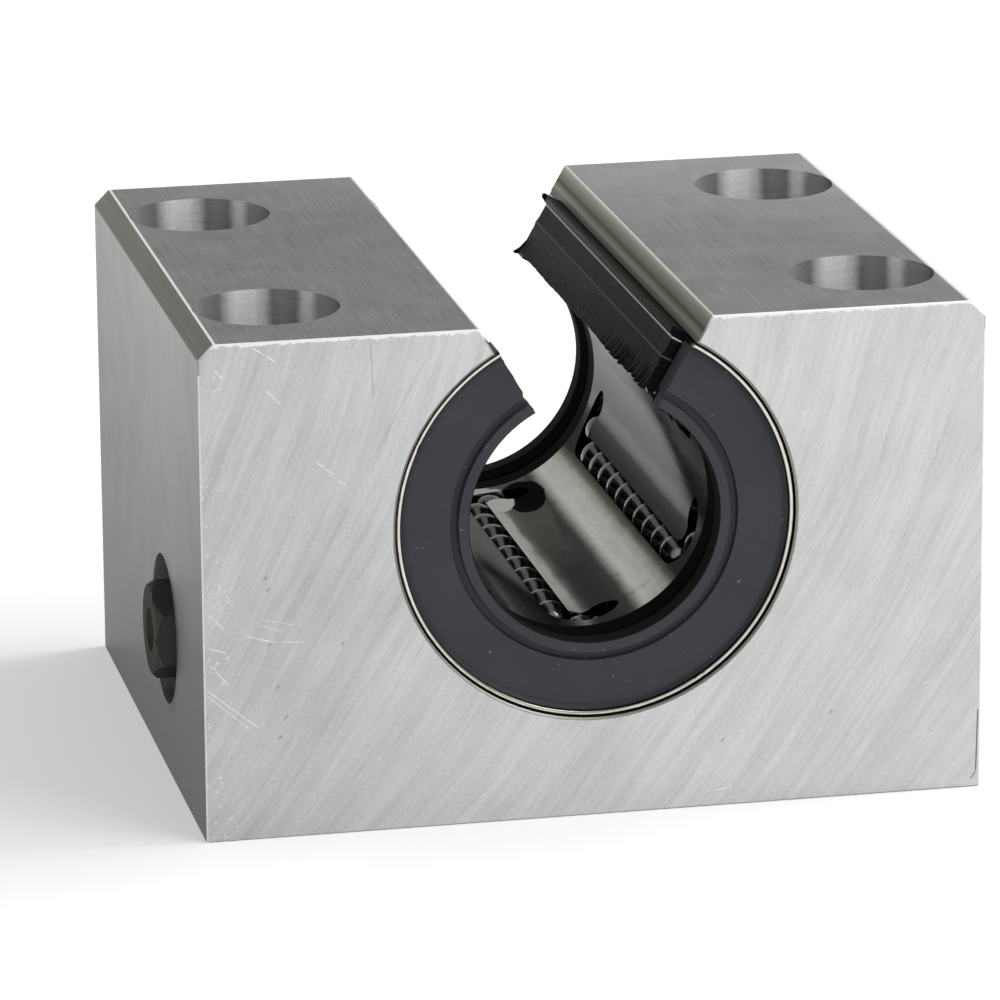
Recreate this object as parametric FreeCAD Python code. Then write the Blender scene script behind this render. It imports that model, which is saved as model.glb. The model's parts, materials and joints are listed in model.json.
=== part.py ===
import FreeCAD, Part
import math
import os

# Open linear bearing block for a round shaft that a rail holds from above, through the slot.
# Millimetres. Origin at the centre of the base face, X across, Y along the shaft, Z up.
# The front is at -Y. Angles round the bore run clockwise from straight up, seen from the front.

Vector = FreeCAD.Vector

# Housing block
block_width = 78.0
block_length = 67.0
block_height = 50.0
top_edge_chamfer = 1.5
edge_break = 0.15
seat_diameter = 40.0
slot_half_angle = 30.0

# Screw holes, with a pocket in the top for each screw head
screw_to_side = 9.0
screw_to_end = 13.5
screw_hole_diameter = 8.5
head_pocket_diameter = 14.5
head_pocket_depth = 9.0

# Bearing: the wall from the seat to the shaft, and its setback from the block's ends
seat_to_shaft = 7.5
end_to_sleeve = 4.5
sleeve_end_chamfer = 0.6
seat_clearance = 0.01
raceway_depth = 0.15
retainer_shaft_gap = 0.45
retainer_fit = 0.02

# Ball circuits: a loaded row on the shaft, a return row behind the retainer, a turn at each end
ball_diameter = 3.969
ball_gap = 0.081
circuit_count = 5
first_row_angle = 65.5
track_clearance = 0.03
return_rise = 1.1
row_wall = 0.6
retainer_end_wall = 1.1
hook_width = 2.7
hook_sweep = 155.0

# End rings and end seals
end_ring_least = 3.0
end_ring_chamfer = 0.8
case_recess = 0.35
case_wall = 0.65
flange_thickness = 0.6
flange_reach = 5.4
seal_face_depth = 1.1
seal_corner = 0.35
seal_groove_outer = 1.9
seal_groove_inner = 1.15
seal_groove_depth = 0.55
seal_left_reach = 0.5
lip_face_depth = 0.9
lip_edge = 0.1
lip_length = 2.1
lip_relief = 0.7

# Rubber strips along the slot: depth behind and height above the slot's flank. The right one
# has come forward in its seat, as in the photo, and the left one sits deeper by the sink.
strip_sink = 1.3
strip_base = 1.6
strip_stand = 1.05
strip_bead_stand = 1.65
strip_bead_width = 0.95
strip_rib = 0.25
strip_rib_width = 0.5
strip_rib_drop = 3.1
strip_lip_width = 1.7
strip_lip_stand = 1.75
strip_lip_gap = 0.3
strip_foot_gap = 0.55

# Lubrication nipple in the left side
nipple_y = -9.0
nipple_below_axis = 15.4
side_pocket_diameter = 15.2
side_pocket_depth = 3.5
nipple_stands_out = 1.5
nipple_across_flats = 9.0
nipple_head_chamfer = 0.7
nipple_thread_diameter = 8.0
nipple_thread_length = 7.0
channel_diameter = 3.4
sleeve_oil_hole_diameter = 3.0
funnel_diameter = 4.6
funnel_depth = 1.3
check_seat_diameter = 1.9
check_seat_length = 1.2
check_ball_diameter = 2.5
check_bore_clearance = 0.1
check_seat_gap = 0.02
spring_wire = 0.35
spring_turns = 3.5
spring_shoulder_diameter = 1.6
spring_shoulder_thickness = 0.8

# Worked out from the sizes above
half_width = block_width / 2
half_length = block_length / 2
seat_radius = seat_diameter / 2
axis_height = block_height - seat_radius
shaft_diameter = seat_diameter - 2 * seat_to_shaft
shaft_radius = shaft_diameter / 2
sleeve_length = block_length - 2 * end_to_sleeve
half_sleeve = sleeve_length / 2
screw_spacing_x = block_width - 2 * screw_to_side
screw_spacing_y = block_length - 2 * screw_to_end
nipple_z = axis_height - nipple_below_axis
ball_radius = ball_diameter / 2
bearing_radius = seat_radius - seat_clearance
retainer_bore = shaft_radius + retainer_shaft_gap
loaded_radius = shaft_radius + ball_radius
return_radius = loaded_radius + return_rise
track_radius = ball_radius + track_clearance
raceway_radius = loaded_radius + track_radius - raceway_depth
retainer_outside = raceway_radius - retainer_fit
row_distance = ball_diameter + row_wall
turn_radius = row_distance / 2
ball_pitch = ball_diameter + ball_gap
past_row = turn_radius + ball_radius + retainer_end_wall
balls_per_row = int((sleeve_length - 2 * (past_row + end_ring_least)) // ball_pitch)
half_row = balls_per_row * ball_pitch / 2
half_retainer = half_row + past_row
row_step = 360.0 / (circuit_count + 1)
squares_between_rows = loaded_radius ** 2 + return_radius ** 2 - row_distance ** 2
cosine_between_rows = squares_between_rows / (2 * loaded_radius * return_radius)
angle_between_rows = math.degrees(math.acos(cosine_between_rows))
through = 2 * block_length

bore_axis_point = Vector(0, 0, axis_height)
along_bore = Vector(0, 1, 0)


def around(radius, angle, y=0.0):
    """The point at a radius and an angle round the bore's axis."""
    turn = math.radians(angle)
    return Vector(radius * math.sin(turn), y, axis_height + radius * math.cos(turn))


def outward(angle):
    """The direction straight out from the bore's axis."""
    return around(1.0, angle) - bore_axis_point


def face_of(points):
    return Part.Face(Part.makePolygon(points + [points[0]]))


def rod(radius, start, end):
    """A plain cylinder between two points."""
    run = end - start
    return Part.makeCylinder(radius, run.Length, start, run)


def rod_along_bore(radius, half):
    return Part.makeCylinder(radius, 2 * half, Vector(0, -half, axis_height), along_bore)


def slot_wedge(right_setback=0.0, left_setback=0.0):
    """The opening to the top, between flanks that stand back by the setbacks."""
    slope = math.radians(slot_half_angle)
    apex_x = (right_setback - left_setback) / (2 * math.cos(slope))
    apex_z = axis_height - (right_setback + left_setback) / (2 * math.sin(slope))
    top_z = block_height + block_width
    reach = (top_z - apex_z) * math.tan(slope)
    points = [
        Vector(apex_x, -through / 2, apex_z),
        Vector(apex_x + reach, -through / 2, top_z),
        Vector(apex_x - reach, -through / 2, top_z),
    ]
    return face_of(points).extrude(along_bore * through)


def strip_seats():
    """The opening with room for the rubber strips' bases on both sides."""
    return slot_wedge(strip_base, strip_base + strip_sink)


def turned_ring(section, opening):
    """A ring turned from (radius, y) points and opened at the slot."""
    points = [around(radius, 0, y) for radius, y in section]
    return face_of(points).revolve(bore_axis_point, along_bore, 360).cut(opening)


def to_rear(shape):
    return shape.mirror(Vector(0, 0, 0), along_bore)


def screw_places():
    for x in (-screw_spacing_x / 2, screw_spacing_x / 2):
        for y in (-screw_spacing_y / 2, screw_spacing_y / 2):
            yield x, y


def make_block_outline():
    """The block's front outline: two chamfered top corners, the slot and the round seat."""
    slope = math.radians(slot_half_angle)
    slot_top = (block_height - axis_height) * math.tan(slope)
    corners = [
        around(seat_radius, slot_half_angle),
        Vector(slot_top, 0, block_height),
        Vector(half_width - top_edge_chamfer, 0, block_height),
        Vector(half_width, 0, block_height - top_edge_chamfer),
        Vector(half_width, 0, 0),
        Vector(-half_width, 0, 0),
        Vector(-half_width, 0, block_height - top_edge_chamfer),
        Vector(-half_width + top_edge_chamfer, 0, block_height),
        Vector(-slot_top, 0, block_height),
        around(seat_radius, -slot_half_angle),
    ]
    edges = [Part.LineSegment(a, b).toShape() for a, b in zip(corners, corners[1:])]
    edges.append(Part.Arc(corners[-1], around(seat_radius, 180), corners[0]).toShape())
    outline = Part.Face(Part.Wire(edges))
    outline.translate(Vector(0, -half_length, 0))
    return outline


def make_screw_hole(x, y):
    pocket_floor = Vector(x, y, block_height - head_pocket_depth)
    hole = Part.makeCylinder(screw_hole_diameter / 2, block_height, Vector(x, y, 0))
    pocket = Part.makeCylinder(head_pocket_diameter / 2, head_pocket_depth, pocket_floor)
    return hole.fuse(pocket)


def nipple_point(inward):
    """A point on the nipple's axis, at a distance in from the block's left side."""
    return Vector(-half_width + inward, nipple_y, nipple_z)


def oil_hole_angle():
    """Where the oil channel, level and along X, comes out in the seat."""
    drop = axis_height - nipple_z
    across = math.sqrt(seat_radius ** 2 - drop ** 2)
    return 180 + math.degrees(math.atan2(across, drop))


def make_housing_block():
    block = make_block_outline().extrude(along_bore * block_length)
    ends = [e for e in block.Edges if abs(e.BoundBox.YLength) < 1e-6]
    block = block.makeChamfer(edge_break, ends)
    block = block.cut([make_screw_hole(x, y) for x, y in screw_places()])
    channel_end = seat_radius * math.sin(math.radians(oil_hole_angle()))
    channel_length = half_width + channel_end + channel_diameter
    pocket = rod(side_pocket_diameter / 2, nipple_point(0), nipple_point(side_pocket_depth))
    thread_end = side_pocket_depth + nipple_thread_length
    thread = rod(nipple_thread_diameter / 2, nipple_point(0), nipple_point(thread_end))
    channel = rod(channel_diameter / 2, nipple_point(0), nipple_point(channel_length))
    return block.cut([pocket, thread, channel])


def row_angles(circuit):
    """The angles of a circuit's loaded row and return row."""
    loaded = first_row_angle + circuit * row_step
    return loaded, loaded - angle_between_rows


def turn_frame(circuit):
    """The middle of a circuit, and the direction from there to its loaded row."""
    loaded, back = row_angles(circuit)
    loaded_point = around(loaded_radius, loaded)
    return_point = around(return_radius, back)
    centre = (loaded_point + return_point) / 2
    return centre, (loaded_point - return_point).normalize()


def make_track(circuit):
    """The closed tunnel that one circuit's balls run in: a pipe along a racetrack."""
    centre, to_loaded = turn_frame(circuit)

    def at(across, y):
        return centre + to_loaded * across + along_bore * y

    far = half_row + turn_radius
    start = at(turn_radius, -half_row)
    path = [
        Part.LineSegment(start, at(turn_radius, half_row)),
        Part.Arc(at(turn_radius, half_row), at(0, far), at(-turn_radius, half_row)),
        Part.LineSegment(at(-turn_radius, half_row), at(-turn_radius, -half_row)),
        Part.Arc(at(-turn_radius, -half_row), at(0, -far), start),
    ]
    section = Part.Wire(Part.makeCircle(track_radius, start, along_bore))
    return Part.Wire([piece.toShape() for piece in path]).makePipeShell([section], True, True)


def make_hook(circuit, end):
    """The slot's hooked end: a curved cut through the retainer, over the balls in their turn."""
    centre, to_loaded = turn_frame(circuit)
    middle = centre + along_bore * (end * half_row)

    def at(radius, angle):
        turn = math.radians(angle)
        return middle + to_loaded * (radius * math.cos(turn)) + along_bore * (end * radius * math.sin(turn))

    inner = turn_radius - hook_width / 2
    outer = turn_radius + hook_width / 2
    onward = (at(turn_radius, hook_sweep + 1) - at(turn_radius, hook_sweep - 1)).normalize()
    tip = at(turn_radius, hook_sweep) + onward * (hook_width / 2)
    edges = [
        Part.Arc(at(outer, 0), at(outer, hook_sweep / 2), at(outer, hook_sweep)),
        Part.Arc(at(outer, hook_sweep), tip, at(inner, hook_sweep)),
        Part.Arc(at(inner, hook_sweep), at(inner, hook_sweep / 2), at(inner, 0)),
        Part.LineSegment(at(inner, 0), at(outer, 0)),
    ]
    face = Part.Face(Part.Wire([edge.toShape() for edge in edges]))
    inward = along_bore.cross(to_loaded)
    return face.extrude(inward * (loaded_radius - retainer_bore + return_rise + ball_radius))


def make_outer_sleeve(tracks):
    outside = rod_along_bore(bearing_radius, half_sleeve)
    rims = [e for e in outside.Edges if abs(e.BoundBox.YLength) < 1e-6]
    outside = outside.makeChamfer(sleeve_end_chamfer, rims)
    sleeve = outside.cut(rod_along_bore(raceway_radius, through))
    oil_direction = outward(oil_hole_angle())
    oil_start = around(raceway_radius - raceway_depth, oil_hole_angle(), nipple_y)
    oil_hole = Part.makeCylinder(sleeve_oil_hole_diameter / 2, seat_radius, oil_start, oil_direction)
    return sleeve.cut([strip_seats(), oil_hole] + tracks)


def make_ball_retainer(tracks):
    shell = rod_along_bore(retainer_outside, half_retainer).cut(rod_along_bore(retainer_bore, through))
    shell = shell.cut(strip_seats())
    hooks = [make_hook(circuit, end) for circuit in range(circuit_count) for end in (-1, 1)]
    return shell.cut(tracks).cut(hooks)


def make_end_ring():
    """The front plastic ring that holds the retainer in the sleeve."""
    section = [
        (retainer_bore, -half_retainer),
        (retainer_outside, -half_retainer),
        (retainer_outside, -half_sleeve),
        (retainer_bore + end_ring_chamfer, -half_sleeve),
        (retainer_bore, -half_sleeve + end_ring_chamfer),
    ]
    return turned_ring(section, strip_seats())


def make_seal_case():
    """The front end seal's pressed steel case, with a rounded rim and a flange behind the rubber."""
    inside = bearing_radius - case_wall
    rim_y = -half_length + case_recess
    round_y = rim_y + case_wall / 2
    flange_y = -half_sleeve - flange_thickness
    flange_radius = bearing_radius - flange_reach
    corners = [
        around(inside, 0, round_y),
        around(inside, 0, flange_y),
        around(flange_radius, 0, flange_y),
        around(flange_radius, 0, -half_sleeve),
        around(bearing_radius, 0, -half_sleeve),
        around(bearing_radius, 0, round_y),
    ]
    edges = [Part.LineSegment(a, b).toShape() for a, b in zip(corners, corners[1:])]
    edges.append(Part.Arc(corners[-1], around(inside + case_wall / 2, 0, rim_y), corners[0]).toShape())
    ring = Part.Face(Part.Wire(edges)).revolve(bore_axis_point, along_bore, 360)
    return ring.cut(slot_wedge(0.0, -seal_left_reach))


def make_lip_seal():
    """The front end seal's rubber: flat face, groove, ridge and the lip that wipes the shaft."""
    outer = bearing_radius - case_wall
    front = -half_length
    face_y = front + seal_face_depth
    groove_y = face_y + seal_groove_depth
    lip_y = front + lip_face_depth
    back_y = -half_sleeve - flange_thickness
    section = [
        (outer, back_y),
        (outer, face_y - seal_corner),
        (outer - seal_corner, face_y),
        (shaft_radius + seal_groove_outer, face_y),
        (shaft_radius + seal_groove_outer - lip_edge, groove_y),
        (shaft_radius + seal_groove_inner, groove_y),
        (shaft_radius + seal_groove_inner - lip_edge, lip_y),
        (shaft_radius + lip_edge, lip_y),
        (shaft_radius, lip_y + lip_edge),
        (shaft_radius, lip_y + lip_edge + lip_length),
        (shaft_radius + lip_relief, back_y),
    ]
    return turned_ring(section, slot_wedge(0.0, -seal_left_reach))


def make_slot_seal(sink):
    """The right rubber strip: a base in the sleeve's edge, a bead, a rib and a pointed lip."""
    slope = math.radians(slot_half_angle)
    down_flank = Vector(math.sin(slope), 0, math.cos(slope))
    off_flank = Vector(-math.cos(slope), 0, math.sin(slope))
    base = -strip_base - sink
    stand = strip_stand - sink
    bead_stand = strip_bead_stand - sink
    lip_stand = strip_lip_stand - sink

    def at(out, off):
        return bore_axis_point - along_bore * half_sleeve + down_flank * out + off_flank * off

    def arc_out(off):
        return math.sqrt(bearing_radius ** 2 - off ** 2)

    bead_out = arc_out(bead_stand)
    rib_out = bead_out - strip_rib_drop
    lip_out = shaft_radius + strip_lip_gap
    outline = [
        at(bead_out, bead_stand),
        at(bead_out - strip_bead_width, stand),
        at(rib_out + strip_rib_width, stand),
        at(rib_out, stand + strip_rib),
        at(rib_out - strip_rib_width, stand),
        at(lip_out + strip_lip_width, stand),
        at(lip_out, lip_stand),
        at(lip_out, lip_stand - strip_lip_gap),
        at(lip_out + strip_foot_gap, -sink),
        at(lip_out + strip_foot_gap, base),
        at(arc_out(base), base),
    ]
    edges = [Part.LineSegment(a, b).toShape() for a, b in zip(outline, outline[1:])]
    middle_off = (base + bead_stand) / 2
    back = Part.Arc(outline[-1], at(arc_out(middle_off), middle_off), outline[0])
    edges.append(back.toShape())
    return Part.Face(Part.Wire(edges)).extrude(along_bore * sleeve_length)


def make_lube_nipple():
    """A hexagon head with a funnel, a plain stem for the thread, and a bore for ball and spring."""
    head_radius = nipple_across_flats / 2 / math.cos(math.radians(30))
    head_length = nipple_stands_out + side_pocket_depth
    end_length = head_length + nipple_thread_length
    turns = [FreeCAD.Rotation(Vector(0, 0, 1), 60 * i + 30) for i in range(6)]
    corners = [turn.multVec(Vector(head_radius, 0, 0)) for turn in turns]
    crown_start = head_radius - nipple_head_chamfer
    crown = Part.makeCone(crown_start, crown_start + head_length, head_length)
    head = face_of(corners).extrude(Vector(0, 0, head_length)).common(crown)
    stem = Part.makeCylinder(nipple_thread_diameter / 2, nipple_thread_length, Vector(0, 0, head_length))
    funnel = Part.makeCone(funnel_diameter / 2, check_seat_diameter / 2, funnel_depth)
    seat_end = funnel_depth + check_seat_length
    mouth = Part.makeCylinder(check_seat_diameter / 2, seat_end)
    chamber_radius = check_ball_diameter / 2 + check_bore_clearance
    chamber_length = end_length - spring_shoulder_thickness - seat_end
    chamber = Part.makeCylinder(chamber_radius, chamber_length, Vector(0, 0, seat_end))
    outlet = Part.makeCylinder(spring_shoulder_diameter / 2, end_length, Vector(0, 0, 0))
    nipple = head.fuse(stem).removeSplitter().cut([funnel, mouth, chamber, outlet])
    return place_in_nipple(nipple)


def place_in_nipple(shape):
    """Moves a shape made along +Z from the nipple's outer face into the block's side."""
    into_side = FreeCAD.Rotation(Vector(0, 0, 1), Vector(1, 0, 0))
    place = FreeCAD.Placement(nipple_point(-nipple_stands_out), into_side)
    shape.Placement = place.multiply(shape.Placement)
    return shape


def check_ball_depth():
    """The check ball's centre, in from the nipple's outer face, where it rests on its seat's edge."""
    rise = math.sqrt((check_ball_diameter / 2) ** 2 - (check_seat_diameter / 2) ** 2)
    return funnel_depth + check_seat_length + rise + check_seat_gap


def make_check_ball():
    return place_in_nipple(Part.makeSphere(check_ball_diameter / 2, Vector(0, 0, check_ball_depth())))


def make_check_spring():
    """The spring behind the check ball, from the ball to the shoulder at the stem's end."""
    end_length = nipple_stands_out + side_pocket_depth + nipple_thread_length
    coil_radius = check_ball_diameter / 2 - spring_wire / 2
    ball_to_wire = check_ball_diameter / 2 + spring_wire / 2 + check_seat_gap
    start = check_ball_depth() + math.sqrt(ball_to_wire ** 2 - coil_radius ** 2)
    finish = end_length - spring_shoulder_thickness - spring_wire / 2 - check_seat_gap
    length = finish - start
    helix = Part.makeHelix(length / spring_turns, length, coil_radius)
    section = Part.Wire(Part.makeCircle(spring_wire / 2, Vector(coil_radius, 0, 0), Vector(0, 1, 0)))
    spring = Part.Wire(helix.Edges).makePipeShell([section], True, True)
    spring.translate(Vector(0, 0, start))
    return place_in_nipple(spring)


def make_ball_rows(circuit):
    """A circuit's balls: two straight rows and one ball halfway round each turn."""
    centre, to_loaded = turn_frame(circuit)
    offsets = [(i + 0.5) * ball_pitch - half_row for i in range(balls_per_row)]
    rows = {}
    for name, side in (("load_balls", turn_radius), ("return_balls", -turn_radius)):
        places = [centre + to_loaded * side + along_bore * y for y in offsets]
        rows[name] = Part.makeCompound([Part.makeSphere(ball_radius, place) for place in places])
    for name, end in (("turn_balls_front", -1), ("turn_balls_rear", 1)):
        place = centre + along_bore * (end * (half_row + turn_radius))
        rows[name] = Part.makeSphere(ball_radius, place)
    return rows


def make_parts():
    tracks = [make_track(circuit) for circuit in range(circuit_count)]
    end_ring = make_end_ring()
    seal_case = make_seal_case()
    lip_seal = make_lip_seal()
    parts = {
        "housing_block": make_housing_block(),
        "outer_sleeve": make_outer_sleeve(tracks),
        "ball_retainer": make_ball_retainer(tracks),
        "end_ring_front": end_ring,
        "end_ring_rear": to_rear(end_ring),
        "seal_case_front": seal_case,
        "seal_case_rear": to_rear(seal_case),
        "lip_seal_front": lip_seal,
        "lip_seal_rear": to_rear(lip_seal),
        "slot_seal_right": make_slot_seal(0.0),
        "slot_seal_left": make_slot_seal(strip_sink).mirror(Vector(0, 0, 0), Vector(1, 0, 0)),
        "lube_nipple": make_lube_nipple(),
        "nipple_check_ball": make_check_ball(),
        "nipple_spring": make_check_spring(),
    }
    for circuit in range(circuit_count):
        for name, shape in make_ball_rows(circuit).items():
            parts[f"{name}_{circuit + 1}"] = shape
    return parts


def write_parts(parts):
    os.makedirs("parts", exist_ok=True)
    for name, shape in parts.items():
        shape.exportStep(f"parts/{name}.step")
        print(name, "solids", len(shape.Solids), "volume", round(shape.Volume, 2), "valid", shape.isValid())


write_parts(make_parts())
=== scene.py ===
import json
import math
import random

import bmesh
import bpy
from mathutils import Matrix, Vector


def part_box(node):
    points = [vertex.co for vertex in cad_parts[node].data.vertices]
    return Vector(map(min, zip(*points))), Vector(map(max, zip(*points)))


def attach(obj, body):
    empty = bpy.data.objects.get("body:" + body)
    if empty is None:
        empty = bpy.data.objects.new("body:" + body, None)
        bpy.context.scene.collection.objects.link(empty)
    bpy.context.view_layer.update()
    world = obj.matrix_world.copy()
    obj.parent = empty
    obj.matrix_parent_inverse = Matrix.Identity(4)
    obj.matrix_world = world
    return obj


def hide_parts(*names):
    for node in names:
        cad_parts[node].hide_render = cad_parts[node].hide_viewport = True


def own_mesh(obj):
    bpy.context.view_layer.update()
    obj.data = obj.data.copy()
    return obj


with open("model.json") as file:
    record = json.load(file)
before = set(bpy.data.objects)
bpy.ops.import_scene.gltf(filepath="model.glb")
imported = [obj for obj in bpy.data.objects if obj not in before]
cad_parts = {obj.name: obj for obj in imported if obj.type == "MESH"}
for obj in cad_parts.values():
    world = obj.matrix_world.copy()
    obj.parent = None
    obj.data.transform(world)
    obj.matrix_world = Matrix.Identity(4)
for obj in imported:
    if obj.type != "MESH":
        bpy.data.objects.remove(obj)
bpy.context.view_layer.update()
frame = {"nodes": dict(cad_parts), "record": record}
print("frame loaded,", len(frame["nodes"]), "CAD nodes")

mm = 0.001

# places read from the frame, in metres
blockLow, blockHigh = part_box("housing_block")
sleeveLow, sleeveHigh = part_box("outer_sleeve")
bearingRadius = (sleeveHigh.x - sleeveLow.x) / 2
boreAxis = sleeveLow.z + bearingRadius
halfSleeve = sleeveHigh.y
nippleLow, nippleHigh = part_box("lube_nipple")
nippleAxis = (nippleLow + nippleHigh) / 2
mounts = {mount["name"]: mount for mount in frame["record"]["mounts"]}
shaftRadius = mounts["shaft_bore"]["dims"]["r_mm"] * mm
screwHoles = mounts["fixing_holes"]["dims"]
screwsApart = (screwHoles["spacing_x_mm"], screwHoles["spacing_y_mm"])
slotSlope = math.radians(30)  # between a flank of the slot and upright


# an output socket that can be used in sums
class Wire:
    def __init__(self, paint, socket):
        self.paint = paint
        self.socket = socket

    def __add__(self, other):
        return self.paint.maths("ADD", self, other)

    def __sub__(self, other):
        return self.paint.maths("SUBTRACT", self, other)

    def __rsub__(self, other):
        return self.paint.maths("SUBTRACT", other, self)

    def __mul__(self, other):
        return self.paint.maths("MULTIPLY", self, other)

    def __truediv__(self, other):
        return self.paint.maths("DIVIDE", self, other)

    def __pow__(self, other):
        return self.paint.maths("POWER", self, other)

    def __neg__(self):
        return self * -1.0

    def __abs__(self):
        return self.paint.maths("ABSOLUTE", self)

    def __gt__(self, other):
        return self.paint.maths("GREATER_THAN", self, other)

    def __lt__(self, other):
        return self.paint.maths("LESS_THAN", self, other)

    __radd__ = __add__
    __rmul__ = __mul__


def linear(level):
    level = level / 255
    return level / 12.92 if level <= 0.04045 else ((level + 0.055) / 1.055) ** 2.4


# a colour written as it looks on a screen, 0 to 255
def tone(red, green=None, blue=None):
    if green is None:
        green = blue = red
    return (linear(red), linear(green), linear(blue), 1.0)


# the nodes of one material or world, which all come from node()
class Paint:
    def __init__(self, owner):
        self.owner = owner
        owner.use_nodes = True
        self.tree = owner.node_tree
        self.tree.nodes.clear()

    def node(self, kind, settings=None, sockets=None, output=0):
        made = self.tree.nodes.new("ShaderNode" + kind)
        for key, value in (settings or {}).items():
            if key == "stops":
                while len(made.color_ramp.elements) < len(value):
                    made.color_ramp.elements.new(1.0)
                for stop, (place, colour) in zip(made.color_ramp.elements, value):
                    stop.position = place
                    stop.color = colour
            else:
                setattr(made, key, value)
        for key, value in (sockets or {}).items():
            if isinstance(value, Wire):
                self.tree.links.new(value.socket, made.inputs[key])
            else:
                made.inputs[key].default_value = value
        return Wire(self, made.outputs[output]) if len(made.outputs) else None

    def maths(self, operation, *values):
        return self.node("Math", {"operation": operation}, dict(enumerate(values)))

    def vectors(self, operation, first, second, output=0):
        return self.node("VectorMath", {"operation": operation}, {0: first, 1: second}, output)

    # object coordinates in millimetres
    def place(self):
        raw = self.node("TexCoord", output="Object")
        return self.node("VectorMath", {"operation": "SCALE"}, {0: raw, "Scale": 1 / mm})

    def normal(self):
        return self.node("TexCoord", output="Normal")

    # one wire for each named axis of a vector
    def axes(self, vector, names="XYZ"):
        return [self.node("SeparateXYZ", None, {0: vector}, output=name) for name in names]

    def join(self, x, y, z):
        return self.node("CombineXYZ", None, {0: x, 1: y, 2: z})

    # how far a vector reaches along a direction in x and z
    def reach(self, vector, x, z):
        return self.vectors("DOT_PRODUCT", vector, (x, 0, z), output=1)

    def distance(self, vector, point):
        return self.vectors("DISTANCE", vector, point, output=1)

    # noise about zero
    def noise(self, vector, scale=1.0, detail=2.0, roughness=0.5):
        sockets = {"Vector": vector, "Scale": scale, "Detail": detail, "Roughness": roughness}
        return self.node("TexNoise", None, sockets) - 0.5

    # noise about zero with a scale of its own along each axis
    def streaks(self, vector, scales, detail, roughness):
        return self.noise(self.vectors("MULTIPLY", vector, scales), 1.0, detail, roughness)

    # from the first value below low to the last above high, smooth between
    def slide(self, value, low, high, first, last):
        sockets = {"Value": value, "From Min": low, "From Max": high, "To Min": first, "To Max": last}
        return self.node("MapRange", {"interpolation_type": "SMOOTHSTEP"}, sockets)

    def step(self, value, low, high):
        return self.slide(value, low, high, 0.0, 1.0)

    def fade(self, value, low, high, top=1.0):
        return self.slide(value, low, high, top, 0.0)

    # patches of a noise that rise above the limits
    def patches(self, vector, noise, limits):
        return self.step(self.noise(vector, *noise), *limits)

    # 1 near the middle value, falling to 0 over the soft distance
    def band(self, value, middle, half, soft):
        return self.fade(abs(value - middle), half, half + soft)

    # 1 between two soft limits
    def between(self, value, low, lowEnd, highStart, high):
        return self.step(value, low, lowEnd) * self.fade(value, highStart, high)

    def mix(self, factor, first, second):
        settings = {"data_type": "RGBA", "clamp_factor": True}
        return self.node("Mix", settings, {0: factor, 6: first, 7: second}, output=2)

    # the colour made lighter or darker by a value near 1
    def shade(self, colour, value):
        settings = {"data_type": "RGBA", "blend_type": "MULTIPLY"}
        grey = self.join(value, value, value)
        return self.node("Mix", settings, {0: 1.0, 6: colour, 7: grey}, output=2)

    # a colour looked up by a value from 0 to 1
    def ramp(self, value, stops):
        return self.node("ValToRGB", {"stops": stops}, {0: value})

    # a colour looked up by a clock angle in degrees
    def dial(self, degrees, stops):
        return self.ramp(degrees / 360.0, [(place / 360, colour) for place, colour in stops])

    # the shader, with the height as relief
    def finish(self, look, colour, roughness, metallic, height=None):
        sockets = {"Base Color": colour, "Roughness": roughness, "Metallic": metallic}
        sockets["Specular IOR Level"] = look.get("specular", 0.5)
        edge = look.get("edge", 1.0)
        sockets["Specular Tint"] = (edge, edge, edge, 1.0)
        if height is not None:
            depth, strength = look["bump"]
            relief = {"Height": height, "Distance": depth, "Strength": strength}
            sockets["Normal"] = self.node("Bump", None, relief)
        surface = self.node("BsdfPrincipled", None, sockets)
        self.node("OutputMaterial", None, {"Surface": surface})
        return self.owner


def newPaint(name):
    return Paint(bpy.data.materials.new(name))


# the base value with every named wire added by its weight
def weigh(weights, **wires):
    total = weights["base"]
    for name, wire in wires.items():
        total = total + wire * weights[name]
    return total


# how far a point is from an axis, by its two offsets
def away(first, second):
    return (first * first + second * second) ** 0.5


# degrees round the bore, clockwise from the slot as seen from the front
def clockAngle(x, rise):
    turn = x.paint.maths("ARCTAN2", -x, -rise)
    return turn * (180 / math.pi) + 180.0


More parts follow.
